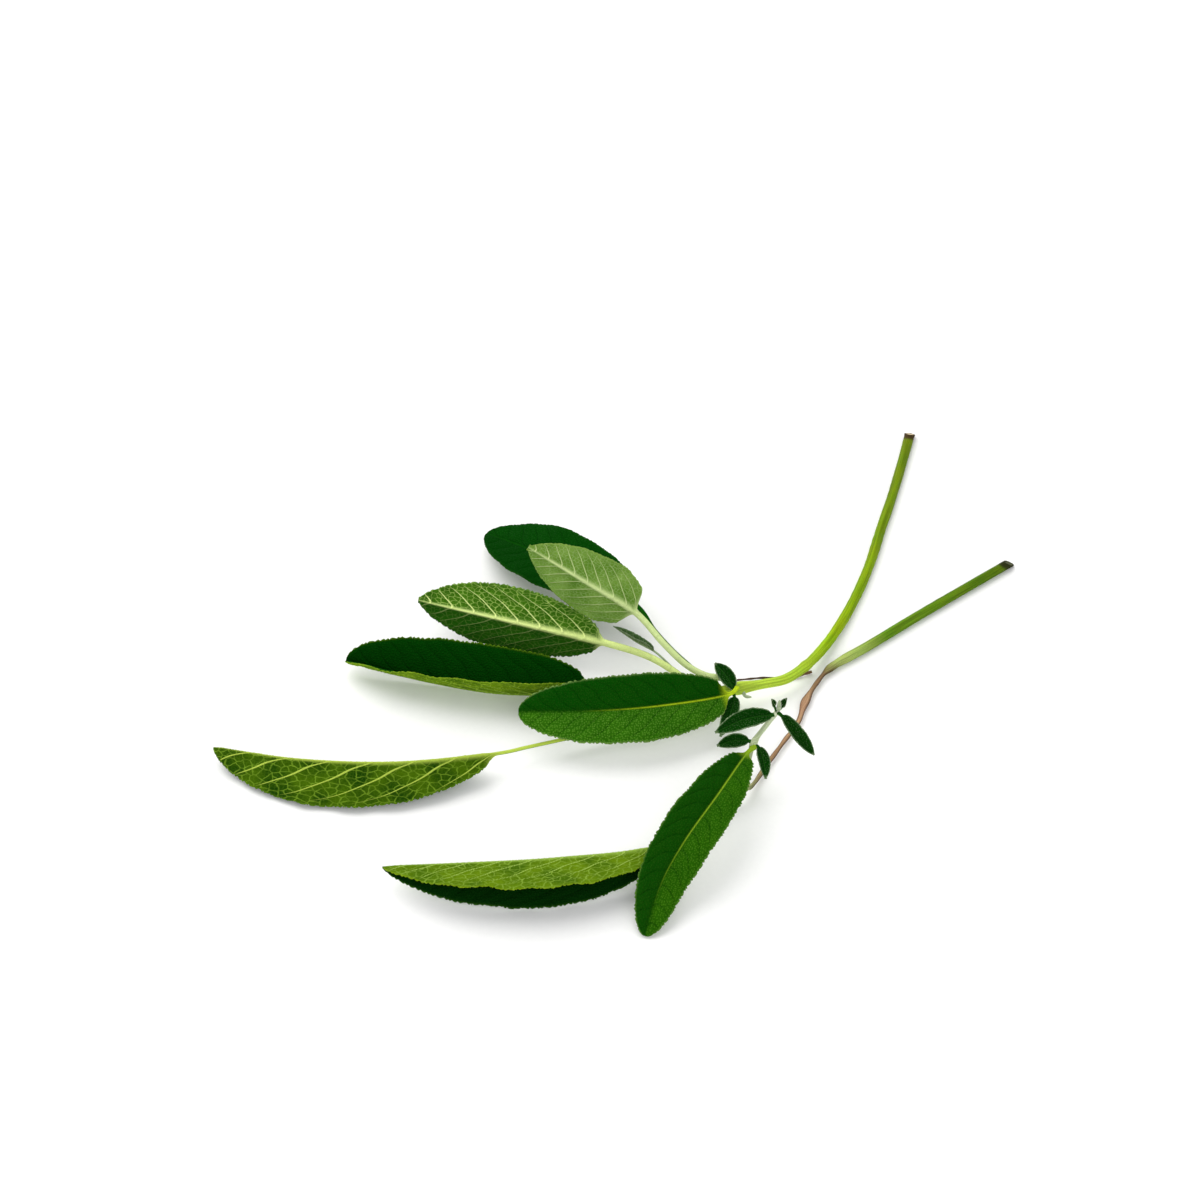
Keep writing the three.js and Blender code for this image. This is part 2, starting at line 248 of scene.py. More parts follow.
def underside(name, areole, shade, net, midrib, rim, cells=1.0, bump=0.6):
    """The soft underside: a raised net of paler veins over darker hollows."""
    tree = Tree(name)
    red, green, blue = tree.mask()[:3]
    sunlit = tree.mask("tone")[0]
    side_vein = side_veins(tree, blue)
    long_cells = warped(tree, tree.uv(LONG_CELLS), 0.5)
    web = net_of_veins(tree, long_cells, cells, 0.12, 0.01)
    finer = net_of_veins(tree, long_cells, cells * FINER, 0.14, 0.02)
    uv = tree.uv()
    large = tree.noise(uv, 0.16, 3.0)
    down = tree.noise(uv, 6.0, 3.0, 0.7)
    patch = tree.noise(uv, 0.5, 2.0)
    colour = tree.blend(tree.ramp(large, 0.3, 0.7), areole, shade)
    colour = tree.blend(tree.math("MULTIPLY", finer, 0.12), colour, net)
    seen = tree.math("MULTIPLY", web, tree.ramp(patch, 0.3, 0.7, 0.35, 0.85))
    colour = tree.blend(seen, colour, net)
    colour = tree.blend(tree.math("MULTIPLY", side_vein, 0.95), colour, midrib)
    colour = tree.blend(tree.math("MULTIPLY", green, 0.6), colour, rim)
    colour = tree.blend(tree.ramp(sunlit, 0.0, 1.0, 0.78, 0.0), colour, SHADED_GREEN)
    colour = tree.blend(red, colour, midrib)
    colour = tree.node("ShaderNodeHueSaturation", "Color", Color=colour, Hue=0.5, Fac=1.0,
                       Saturation=1.0, Value=tree.ramp(down, 0.25, 0.75, 0.85, 1.12))
    height = tree.math("ADD", tree.math("MULTIPLY", web, 0.8), tree.math("MULTIPLY", down, 0.35))
    height = tree.math("ADD", height, tree.math("MULTIPLY", side_vein, 1.2))
    return tree.finish(colour, 0.75, height, bump, distance=0.00018, specular=0.02)


def stem_skin(name, stops, cut_rim, pith, bump=0.4, roughness=0.55, edge=None):
    """A ribbed stem whose colour changes along its length. stops is (share of length, colour).
    Its mask holds: red, share of the length; green, the cut face and the bruised skin next to
    it; blue, 0 in the middle of the cut face and 1 at its edge. Its tone holds: red, how much
    it has dried out towards its edges."""
    tree = Tree(name)
    red, green, blue = tree.mask()[:3]
    dried = tree.mask("tone")[0]
    ribs = tree.noise(tree.uv((0.03, 1.0, 1.0)), 2.6, 2.0)
    large = tree.noise(tree.uv((1.0, 0.4, 1.0)), 0.16, 3.0)
    fine = tree.noise(tree.uv((0.5, 1.0, 1.0)), 5.0, 4.0, 0.65)
    ramp = tree.nodes.new("ShaderNodeValToRGB")
    tree.feed(ramp.inputs[0], red)
    elements = ramp.color_ramp.elements
    for share, _ in stops[1:-1]:
        elements.new(share)
    for stop, (_, shade) in zip(elements, stops):
        stop.color = (*shade, 1.0)
    shaded = tree.node("ShaderNodeHueSaturation", "Color", Color=ramp.outputs[0], Hue=0.5,
                       Saturation=1.0, Value=tree.ramp(ribs, 0.3, 0.7, 0.7, 1.2), Fac=1.0)
    shaded = tree.node("ShaderNodeHueSaturation", "Color", Color=shaded, Fac=1.0,
                       Hue=tree.ramp(large, 0.3, 0.7, 0.49, 0.51), Saturation=1.0,
                       Value=tree.ramp(fine, 0.3, 0.7, 0.86, 1.14))
    if edge:
        shaded = tree.blend(dried, shaded, edge)
    face = tree.blend(tree.ramp(blue, 0.55, 0.85), pith, cut_rim)
    colour = tree.blend(green, shaded, face)
    height = tree.math("ADD", ribs, tree.math("MULTIPLY", fine, 0.5))
    return tree.finish(colour, roughness, height, bump, distance=0.00015, specular=0.05)


def bud_skin(name, dark, light):
    tree = Tree(name)
    hair = tree.noise(tree.uv((0.4, 3.0, 1.0)), 4.0, 3.0, 0.7)
    colour = tree.blend(tree.ramp(hair, 0.3, 0.7), dark, light)
    return tree.finish(colour, 0.8, hair, 0.9, sheen=0.5, specular=0.2)


def floor_paper():
    tree = Tree("floor_paper")
    place = tree.node("ShaderNodeTexCoord", "Object")
    grain = tree.noise(place, 900.0, 3.0)
    colour = tree.blend(grain, (0.9, 0.9, 0.9), (0.94, 0.94, 0.94))
    return tree.finish(colour, 0.9, grain, 0.02, specular=0.1)


# ---------------------------------------------------------------------------------------------
# Curves
# ---------------------------------------------------------------------------------------------
# The lines below are drawn in mm, with the table at a height of 0. The middle of the sprig's
# footprint lies at this point of the drawing, and at the origin of the frame.
MIDDLE = np.array((2.155, 3.938, -0.005))
CURVE_SAMPLES = 60  # points sampled between two drawn ones


class Curve:
    """A centripetal Catmull-Rom curve through drawn points, read by share of its length."""

    def __init__(self, line, first=None):
        points = np.array(line, float) - MIDDLE
        if first is not None:
            points = np.vstack((first, points))
        ends = np.vstack((2 * points[0] - points[1], points, 2 * points[-1] - points[-2]))
        made = [points[0]]
        for i in range(len(points) - 1):
            p0, p1, p2, p3 = ends[i:i + 4]
            d0, d1, d2 = (max(np.linalg.norm(b - a) ** 0.5, 1e-4)
                          for a, b in ((p0, p1), (p1, p2), (p2, p3)))
            t1 = ((p1 - p0) / d0 - (p2 - p0) / (d0 + d1) + (p2 - p1) / d1) * d1
            t2 = ((p2 - p1) / d1 - (p3 - p1) / (d1 + d2) + (p3 - p2) / d2) * d1
            for step in range(1, CURVE_SAMPLES + 1):
                t = step / CURVE_SAMPLES
                made.append(p1 + t1 * t + (3 * (p2 - p1) - 2 * t1 - t2) * t * t
                            + (2 * (p1 - p2) + t1 + t2) * t ** 3)
        self.points = np.array(made)
        steps = np.linalg.norm(np.diff(self.points, axis=0), axis=1)
        self.lengths = np.concatenate(([0.0], np.cumsum(steps)))
        self.length = self.lengths[-1]
        slopes = np.gradient(self.points, self.lengths, axis=0)
        self.slopes = slopes / np.linalg.norm(slopes, axis=1)[:, None]

    def share_at(self, drawn_index):
        return self.lengths[drawn_index * CURVE_SAMPLES] / self.length

    def at(self, shares):
        where = np.clip(shares, 0, 1) * self.length
        place = np.stack([np.interp(where, self.lengths, self.points[:, k]) for k in range(3)], 1)
        slope = np.stack([np.interp(where, self.lengths, self.slopes[:, k]) for k in range(3)], 1)
        return place, slope / np.linalg.norm(slope, axis=1)[:, None]

    def nearest(self, place):
        return self.points[np.argmin(np.linalg.norm(self.points - place, axis=1))]


def unit(vectors):
    return vectors / np.maximum(np.linalg.norm(vectors, axis=-1, keepdims=True), 1e-9)


def smooth(t):
    t = np.clip(t, 0.0, 1.0)
    return t * t * (3 - 2 * t)


def ripple(x, seed):
    """Smooth, repeatable unevenness about 0, with waves one to a few units of x long."""
    random = np.random.default_rng(seed)
    total = np.zeros_like(x, dtype=float)
    for _ in range(5):
        total += np.sin(x * random.uniform(1.0, 5.0) + random.uniform(0, 2 * math.pi)) / 2.2
    return total


# ---------------------------------------------------------------------------------------------
# Meshes
# ---------------------------------------------------------------------------------------------
def mesh_of_rings(name, rings, maps, mask, tone, materials, face_material):
    """Closes a stack of rings into a skin. All arrays are indexed [ring][point]: the UV maps by
    name, and mask and tone, which end up as colour attributes that the materials read."""
    count, sides = rings.shape[:2]
    points = np.vstack((rings.reshape(-1, 3), rings[0].mean(0), rings[-1].mean(0))) * MM
    points[:, 2] = np.maximum(points[:, 2], 0)  # what rests on the table doesn't dip into it
    first = np.arange(count * sides).reshape(count, sides)
    second = np.roll(first, -1, axis=1)
    quads = np.stack((first[:-1], second[:-1], second[1:], first[1:]), -1).reshape(-1, 4)
    start, end = count * sides, count * sides + 1
    caps = [(first[0][(j + 1) % sides], first[0][j], start) for j in range(sides)]
    caps += [(first[-1][j], first[-1][(j + 1) % sides], end) for j in range(sides)]
    mesh = bpy.data.meshes.new(name)
    mesh.from_pydata(points.tolist(), [], quads.tolist() + caps)
    corners = np.empty(len(mesh.loops), int)
    mesh.loops.foreach_get("vertex_index", corners)
    for label, values in maps.items():
        flat = np.vstack((values.reshape(-1, 2), values[0].mean(0), values[-1].mean(0)))
        mesh.uv_layers.new(name=label).data.foreach_set("uv", flat[corners].ravel())
    for label, values in (("mask", mask), ("tone", tone)):
        paint = mesh.color_attributes.new(label, "FLOAT_COLOR", "POINT")
        flat = np.vstack((values.reshape(-1, 3), values[0].mean(0), values[-1].mean(0)))
        paint.data.foreach_set("color", np.hstack((flat, np.ones((len(flat), 1)))).ravel())
    for material in materials:
        mesh.materials.append(material)
    tiles = np.tile(face_material, count - 1)
    ends = np.full(2 * sides, face_material[0])
    mesh.polygons.foreach_set("material_index", np.concatenate((tiles, ends)).astype(int))
    mesh.polygons.foreach_set("use_smooth", np.ones(len(mesh.polygons), bool))
    mesh.update()
    mesh.validate()
    piece = bpy.data.objects.new(name, mesh)
    bpy.context.scene.collection.objects.link(piece)
    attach(piece, "root")
    return piece


def blade_shape(u, widest, taper):
    base = np.maximum(1 - (np.maximum(widest - u, 0) / widest) ** 2, 0) ** taper[0]
    tip = np.maximum(1 - (np.maximum(u - widest, 0) / (1 - widest)) ** 2.1, 0) ** taper[1]
    return np.where(u < widest, base, tip)


BLEND = 0.07  # share of the blade over which the petiole flattens into it
TOOTH_PITCH = 1.1  # mm between teeth of the rim
PETIOLE_IN_STEM = 0.75  # share of the way from the drawn foot to the stem's middle
PETIOLE_STEP = 0.5  # mm between the rings of a petiole
CROWDING = 0.25  # how much closer together the rings come towards both ends of a blade
LAST_RING = 0.998  # share of the blade at the last ring, as the very tip is a point
VEIN_WIDTH = 0.28  # mm, half the width of a side vein
VEIN_RISE = 0.13  # mm that a side vein stands out below
VEIN_GROOVE = 0.06  # mm that it is sunk above
RIB_GROOVE = 0.22  # mm that the midrib is sunk above, at the base of the blade
RIB_GROOVE_WIDTH = 0.4  # mm, half the width of that groove


def leaf(name, spec, stem):
    """A leaf with its petiole: a folded blade with teeth, quilting between its side veins, a
    net of small veins, a raised midrib below and a groove above."""
    curve = Curve(spec["line"])
    foot = curve.points[0]
    first = foot + (stem.nearest(foot) - foot) * PETIOLE_IN_STEM
    curve = Curve(spec["line"], first)
    blade_start = curve.share_at(spec["base"] + 1)
    blade_length = (1 - blade_start) * curve.length
    petiole_length = blade_start * curve.length
    half, petiole, vein, seed = spec["half"], spec["petiole"], spec["vein"], spec["seed"]
    columns = spec["columns"]

    # Stations: along the petiole, then along the blade, closer together at both of its ends.
    before = np.linspace(0, 1, max(6, int(petiole_length / PETIOLE_STEP)), endpoint=False)
    i = np.linspace(0, 1, max(24, int(blade_length / spec["grid"])) + 1)
    blade_u = ((1 - CROWDING) * i + CROWDING * (1 - np.cos(math.pi * i)) / 2) * LAST_RING
    u = np.concatenate((np.zeros(len(before)), blade_u))[:, None]
    share = np.concatenate((blade_start * before, blade_start + (1 - blade_start) * blade_u))
    flat = smooth(u / BLEND)
    middle, slope = curve.at(share)
    up = unit(np.array(spec["face"][0])) * (1 - u) + unit(np.array(spec["face"][1])) * u
    up = unit(up - (up * slope).sum(1, keepdims=True) * slope)
    out = np.cross(up, slope)
    along = ((share - blade_start) * curve.length)[:, None]
    shape = blade_shape(u, spec["widest"], spec["taper"]) * (1 + 0.012 * ripple(u * 9, seed))
    width = np.maximum(half * shape, petiole)
    small = np.minimum(1, width / 3)  # everything shrinks with the blade towards its ends
    rib = petiole * (0.9 * (1 - u) ** 0.9 + 0.14)
    radius = petiole * (1 + 0.6 * np.exp(-share * curve.length / 1.4))[:, None]

    rings, uvs, vein_uvs, masks, tones = [], [], [], [], []
    a = 1 - np.arange(2 * columns + 1) / columns
    for top in (1, -1):
        across = (top * a)[None]  # from 1 to -1 along the top, back again underneath
        side = np.sign(across)
        q = np.abs(across) ** 1.25
        fold = [np.where(side < 0, spec["right"][k], spec["left"][k]) for k in (0, 1)]
        waves = [spec["ruffle"] * ripple(along * 0.16 + 3, seed + k) for k in (1, 2)]
        start = np.radians(fold[0])
        end = np.radians(fold[1] + np.where(side < 0, waves[0], waves[1]))
        tooth = along / TOOTH_PITCH + 0.35 * ripple(along * 0.7, seed + 3) + 0.3 * side
        crest = np.abs(np.sin(math.pi * tooth))
        tooth = spec["tooth"] * (crest - 0.6) * small * smooth(u / 0.05)
        s = width * q + tooth * q ** 9
        bend = (end - start) / width
        bend = np.where(np.abs(bend) < 1e-6, 1e-6, bend)
        lean = start + bend * s
        outwards = (np.sin(lean) - np.sin(start)) / bend
        upwards = (np.cos(start) - np.cos(lean)) / bend

        # Side veins run forward from the midrib, in turn left and right; the blade swells
        # between them.
        begins = along - s * vein["sweep"] - s * s * vein["curve"]
        begins = begins + vein["wobble"] * ripple(side * s * 0.3 + 7, seed + 5)
        phase = begins / vein["pitch"] + 0.23 * np.tanh(side * s / 0.6)
        off = np.abs(phase - np.round(phase)) * vein["pitch"]
        inner = smooth((1 - q) * width / 1.2)
        side_vein = np.exp(-(off / VEIN_WIDTH) ** 2) * inner * smooth(s / 0.3) * small
        quilt = np.sqrt(np.clip(off / (vein["pitch"] / 2), 0, 1)) * inner * smooth(s / 1.5)
        swell = spec["quilt"] * quilt
        swell = swell + 0.05 * ripple(along * 1.3 + 5 * q * side, seed + 4) * q
        swell = swell + 0.04 * ripple(along * 2.9 - 6 * s * side, seed + 7)
        swell = swell * small * flat
        body = spec["lamina"] / 2 * small * (1 - 0.7 * q ** 8)
        ridge = rib * np.sqrt(np.clip(1 - (s / (1.15 * rib)) ** 2, 0, 1))
        if top > 0:
            groove = RIB_GROOVE * np.exp(-(s / RIB_GROOVE_WIDTH) ** 2) * (1 - 0.5 * u)
            lift = body - groove - VEIN_GROOVE * side_vein
        else:
            lift = -(body + 1.2 * ridge + VEIN_RISE * side_vein)
        lift = lift + swell
        # Where the two halves meet, points go straight up or down rather than off each slope.
        turn = lean * smooth(s / 0.8)
        local_out = side * (outwards - np.sin(turn) * lift)
        local_up = upwards + np.cos(turn) * lift
        blade = (middle[:, None] + out[:, None] * local_out[..., None]
                 + up[:, None] * local_up[..., None])
        # The petiole is round below and channelled above.
        angle = math.pi * ((np.arange(len(a)) + 0.5) / len(a) + (0 if top > 0 else 1))
        angle = angle[None]
        around = radius * (1 - 0.3 * np.clip(np.sin(angle), 0, 1) ** 3)
        ring = (middle[:, None] + out[:, None] * (np.cos(angle) * around)[..., None]
                + up[:, None] * (np.sin(angle) * around)[..., None])
        f = flat[:, :, None]
        rings.append(ring * (1 - f) + blade * f)
        full = np.ones_like(s)
        uvs.append(np.stack((along * full, side * s * flat + (1 - flat) * angle * petiole), -1))
        reach = (0.28 if top > 0 else 0.85) * rib + 0.06
        on_rib = np.exp(-(s / reach) ** 2) * smooth((spec["rib_end"] - u) / 0.5)
        rim = smooth(1 - width * (1 - q) / spec["rim_width"]) * flat * (0.3 + 0.7 * crest)
        masks.append(np.stack((np.maximum(on_rib, 1 - flat), rim, q * full), -1))
        vein_uvs.append(np.stack((phase * full, side * s / vein["pitch"] * full), -1))
        share_left = 0.5 + 0.5 * np.tanh(side * s / 0.35)
        lit = spec["sunlit"][1] + (spec["sunlit"][0] - spec["sunlit"][1]) * share_left
        tones.append(np.stack((lit * full,) * 3, -1))
    rings, uvs, vein_uvs, masks, tones = (np.concatenate(part, 1) for part in
                                          (rings, uvs, vein_uvs, masks, tones))
    upper = np.arange(rings.shape[1]) < len(a) - 1
    piece = mesh_of_rings(name, rings, {"UVMap": uvs, "Veins": vein_uvs}, masks, tones,
                          spec["skins"], np.where(upper, 0, 1))
    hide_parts(name)


SLANT = 1.3  # how far a slanting cut runs along the stem for each mm of height
CUT_REACH = 6.0  # mm of stem over which the slant fades out


def stem_mesh(name, curve, size, skin, sides=40, step=0.4, cut=True, square=0.05, seed=1,
              dried=lambda t: 0.0):
    """A stem: oval rings along a curve, squarish and finely ribbed, with its cut face."""
    shares = np.linspace(0, 1, int(curve.length / step) + 1)
    middle, slope = curve.at(shares)
    across = np.cross((0.0, 0.0, 1.0), slope[0])
    angle = np.arange(sides) / sides * 2 * math.pi
    rings, uvs, masks, tones = [], [], [], []
    for place, tangent, t in zip(middle, slope, shares):
        across = unit(across - (across @ tangent) * tangent)
        up = np.cross(tangent, across)
        wide, tall = size(t)
        ribs = 1 + square * np.cos(4 * angle + 2 * t) + 0.015 * np.sin(13 * angle + seed)
        ribs = ribs + 0.015 * ripple(np.full(sides, t * curve.length * 0.5), seed)
        rings.append(place + across * (np.cos(angle) * wide * ribs)[:, None]
                     + up * (np.sin(angle) * tall * ribs)[:, None])
        uvs.append(np.stack((np.full(sides, t * curve.length), angle * wide), -1))
        bruise = 0.95 * float(smooth(2.0 - t * curve.length / 1.3)) if cut else 0.0
        masks.append(np.stack((np.full(sides, t), np.full(sides, bruise), np.ones(sides)), -1))
        edge = np.abs(np.cos(angle)) ** 3 * dried(t)
        tones.append(np.stack((edge, edge, edge), -1))
    if cut:
        # The cut face: a rounded lip, then a face a little hollow in the middle.
        outline = rings[0] - middle[0]
        rings[0] = rings[0] + slope[0] * 0.12
        for inward, hollow in ((0.94, 0.0), (0.8, 0.02), (0.5, 0.09), (0.2, 0.12)):
            rings.insert(0, middle[0] + outline * inward + slope[0] * hollow)
            uvs.insert(0, uvs[0])
            tones.insert(0, tones[0])
            masks.insert(0, np.stack((np.zeros(sides), np.ones(sides),
                                      np.full(sides, inward)), -1))
        # The knife went through at a slant, so the upper side of the stem ends further in.
        for ring in rings:
            behind = (ring - middle[0]) @ slope[0]
            slant = (ring[:, 2] - middle[0][2]) * SLANT
            push = slant * np.clip(1 - behind / CUT_REACH, 0, 1)
            ring += slope[0] * push[:, None]
    piece = mesh_of_rings(name, np.array(rings), {"UVMap": np.array(uvs)}, np.array(masks),
                          np.array(tones), [skin], np.zeros(sides, int))
    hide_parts(name)


# ---------------------------------------------------------------------------------------------
# Stems, as drawn in the CAD: mm, from the cut end to the growing tip
# ---------------------------------------------------------------------------------------------
STEM_RADIUS = 1.05
SHOOT_RADIUS = 0.55
STRAP_HALF_WIDTH = 0.8
STALK_RADIUS = 0.3

main_stem = Curve([
    (68, 78.5, 1.1), (66, 70.1, 1.1), (62.6, 56.9, 1.1), (59.8, 47.1, 1.1), (56.6, 35.4, 1.1),
    (53.3, 25.9, 1.15), (49.5, 17, 1.4), (45.4, 9, 2.1), (41.2, 2.6, 3), (36.7, -1.9, 3.7),
    (31.9, -3.8, 4.2), (26.7, -5.6, 4.8), (20.9, -7.3, 5), (14.5, -9.4, 4.9), (9.6, -11, 4.6)])
side_stem = Curve([
    (87.7, 36.3, 1.05), (67.3, 20.4, 1.05), (55.2, 10.6, 1.05), (46.6, 3.8, 1.1),
    (43.6, -0.6, 1.1), (40.9, -6.2, 1), (39.2, -12, 0.9), (36, -17.6, 0.9), (32.2, -24.4, 1),
    (28.9, -30.6, 1.4), (27.5, -32.6, 3.2), (27.7, -30.6, 6.4), (29.1, -26.5, 10),
    (31.6, -24.9, 13.6), (33.8, -24.2, 17)])
withered_stalk = Curve([
    (42.7, 3.4, 0.5), (39.2, 1.9, 0.5), (36.3, 1.3, 0.5), (32.8, 1.6, 0.5), (26.5, 0.9, 0.5)])


def swelling(curve, drawn_index, t, height, width):
    """A node or a ring: a smooth swelling of the stem around one drawn point."""
    gap = (t - curve.share_at(drawn_index)) * curve.length
    return height * math.exp(-(gap / width) ** 2)


def main_stem_size(t):
    size = STEM_RADIUS * (1 + 0.02 * math.sin(t * 61) + 0.015 * math.sin(t * 23 + 1))
    size += swelling(main_stem, 0, t, 0.12, 0.8)  # the bruised cut end
    size += swelling(main_stem, 8, t, 0.16, 1.1)  # the scar of a fallen leaf
    size += swelling(main_stem, 11, t, 0.35, 2.4)  # the leafy node
    size += swelling(main_stem, 14, t, 0.2, 2.0)
    return size, size


def shoot_share(t):
    return float(smooth((t - 0.8) / 0.05))


def strap_share(t):
    return float(smooth((t - 0.42) / 0.06)) * (1 - shoot_share(t))


def side_stem_size(t):
    shoot, strap = shoot_share(t), strap_share(t)
    round_part = STEM_RADIUS + (SHOOT_RADIUS - STEM_RADIUS) * shoot
    wide = round_part + (STRAP_HALF_WIDTH - round_part) * strap
    tall = round_part + (STRAP_HALF_WIDTH / 2 - round_part) * strap
    node = swelling(side_stem, 3, t, 0.3, 1.8)
    # The dead strap is shrunken, ragged, and widest where it curls a few mm past the fork.
    worn = 1 - strap * (0.42 + 0.07 * math.sin(t * 120) - swelling(side_stem, 5, t, 0.5, 3.0))
    pair = swelling(side_stem, 12, t, 0.3, 1.0)
    return wide * worn + node + pair, tall * (1 - 0.2 * strap) + node + pair


def withered_stalk_size(t):
    size = STALK_RADIUS * (1 - 0.4 * t) * (1 + 0.15 * math.sin(t * 40))
    return size, size


def add_stems():
    green = stem_skin("main_stem_skin", (
        (0.0, (0.12, 0.19, 0.002)), (0.3, (0.15, 0.25, 0.002)), (0.62, (0.25, 0.40, 0.003)),
        (0.8, (0.42, 0.60, 0.05)), (1.0, (0.36, 0.54, 0.05))),
        cut_rim=(0.045, 0.022, 0.008), pith=(0.62, 0.50, 0.30))
    stem_mesh("main_stem", main_stem, main_stem_size, green, seed=4)
    fork = side_stem.share_at(3)
    turn = side_stem.share_at(9)
    mixed = stem_skin("side_stem_skin", (
        (0.0, (0.075, 0.145, 0.003)), (fork - 0.14, (0.11, 0.23, 0.008)),
        (fork - 0.02, (0.36, 0.45, 0.12)), (fork + 0.02, (0.20, 0.12, 0.06)),
        (fork + 0.10, (0.44, 0.27, 0.15)), (turn - 0.05, (0.30, 0.18, 0.09)),
        (turn + 0.03, (0.36, 0.44, 0.20)), (1.0, (0.56, 0.63, 0.42))),
        cut_rim=(0.02, 0.022, 0.006), pith=(0.07, 0.08, 0.03), bump=0.7, roughness=0.6,
        edge=(0.05, 0.025, 0.015))
    stem_mesh("side_stem", side_stem, side_stem_size, mixed, seed=9,
              dried=lambda t: strap_share(t) * 0.95)
    dead = stem_skin("withered_skin", (
        (0.0, (0.17, 0.10, 0.05)), (0.5, (0.05, 0.03, 0.02)), (1.0, (0.09, 0.05, 0.03))),
        cut_rim=(0.05, 0.03, 0.02), pith=(0.2, 0.13, 0.08), bump=0.8, roughness=0.8)
    stem_mesh("withered_stalk", withered_stalk, withered_stalk_size, dead, sides=20,
              step=0.25, cut=False, seed=5)


# ---------------------------------------------------------------------------------------------
# Leaves, as drawn in the CAD
# ---------------------------------------------------------------------------------------------
def veins(pitch, sweep, curve, wobble=0.5):
    """Side veins pitch mm apart, swept forward sweep mm per mm out and more so by curve, with
    wobble mm of unevenness."""
    return dict(pitch=pitch, sweep=sweep, curve=curve, wobble=wobble)


LEAVES = {
    "back_leaf": dict(
        line=[(20.4, -5.6, 5.7), (16.7, -1.2, 6.4), (12.8, 2.6, 7.6), (8.8, 7.4, 9),
              (5, 14, 10), (-12, 28.2, 9.4), (-28.3, 43.9, 3)],
        base=4, face=((0, -0.4, 0.92), (0, -0.2, 0.97)), half=7.9, petiole=0.5, left=(8, 4),
        widest=0.5, taper=(0.6, 0.62), tooth=0.16, vein=veins(4.6, 0.7, 0.06), seed=11,
        sunlit=(0.2, 0.6)),
    "pale_leaf": dict(
        line=[(24.6, -4.6, 6.3), (19.6, -4.3, 7.3), (15.6, -2.4, 8.4), (10.7, 1.5, 11),
              (4.7, 6.9, 15), (-6.2, 9.5, 22), (-18.3, 11.7, 30)],
        base=4, face=((0.2, 0.85, -0.5), (0.1, 0.8, -0.6)), half=7, petiole=0.7,
        left=(12, 4), widest=0.3, taper=(0.42, 0.8), tooth=0.18, vein=veins(3.3, 0.9, 0.09),
        seed=21, sunlit=(1.0, 0.75)),
    "veined_leaf": dict(
        line=[(17.4, -6.5, 5.3), (8.8, 0.8, 6.9), (-1.7, 4.7, 8), (-20.2, 9.8, 9),
              (-42.5, 16.8, 9)],
        base=2, face=((0.2, 0.87, -0.5), (0.1, 0.87, -0.5)), half=7.4, petiole=0.75,
        left=(14, 8), widest=0.5, taper=(0.62, 0.7), vein=veins(5.0, 1.15, 0.1), seed=31,
        sunlit=(1.0, 0.1)),
    "cupped_leaf": dict(
        line=[(8.4, -9.1, 4.4), (2.6, -5.6, 2.8), (-3.9, -3.8, 1.6), (-24.5, -3, 0.8),
              (-39.6, 0.2, 0.8), (-58, 4.7, 2.3)],
        base=2, face=((0, 0.24, 0.97), (0, -0.06, 1)), half=10, petiole=0.5,
        left=(46, 56), right=(48, 52), widest=0.46, taper=(0.55, 0.47), sunlit=(1.0, 0.1),
        vein=veins(4.8, 0.75, 0.05), seed=41),
    "front_leaf": dict(
        line=[(26.2, -7.1, 6.6), (24.8, -9.7, 7.4), (9.7, -15.2, 9.4), (-5.1, -17.3, 10),
              (-20.3, -16.6, 9)],
        base=1, face=((0, -0.66, 0.75), (0, -0.66, 0.75)), half=7.4, petiole=0.45,
        left=(14, 10), widest=0.48, taper=(0.5, 0.5), vein=veins(4.2, 0.8, 0.06), seed=51,
        sunlit=(1.0, 0.08), rib_end=0.75),
    "long_leaf": dict(
        line=[(8.1, -13.2, 4.2), (-1, -16.4, 3.2), (-10, -18.9, 3.2), (-18, -22.2, 4.2),
              (-23.9, -25, 5.3), (-44.7, -30, 7.6), (-65.7, -28.7, 7.2), (-84.6, -22.1, 4)],
        base=4, face=((0, -0.06, -1), (0, -0.06, -1)), half=9.3, petiole=0.4,
        left=(44, 54), right=(42, 52), widest=0.55, taper=(0.8, 0.65),
        vein=veins(9.0, 1.2, 0.14, 0.8), seed=61),
    "shoot_leaf": dict(
        line=[(29.2, -27.9, 10.2), (28, -29.6, 10.8), (20.9, -43.5, 12), (14.2, -53.6, 9.5),
              (9.6, -60.8, 5.2), (6.1, -71.2, 0.5)],
        base=1, face=((0, -0.3, 0.95), (0.1, -0.4, 0.9)), half=6, petiole=0.45,
        left=(14, 10), widest=0.5, taper=(0.6, 0.5), vein=veins(4.2, 0.8, 0.07), seed=71,
        sunlit=(0.9, 0.15), rib_end=0.9),
    "folded_leaf": dict(
        line=[(26.6, -34.2, 2.2), (17.8, -41.4, 2.8), (8.5, -50.7, 4.6), (-11.2, -55.4, 6.2),
              (-31.6, -56.5, 5.9), (-47.7, -55.7, 4.2)],
        base=2, face=((0, -0.98, -0.19), (0, -0.98, -0.19)), half=9.6, petiole=0.4,
        left=(60, 66), right=(60, 70), widest=0.42, taper=(0.6, 0.75),
        vein=veins(6.5, 1.2, 0.12, 0.7), seed=81, sunlit=(0.3, 1.0)),
}

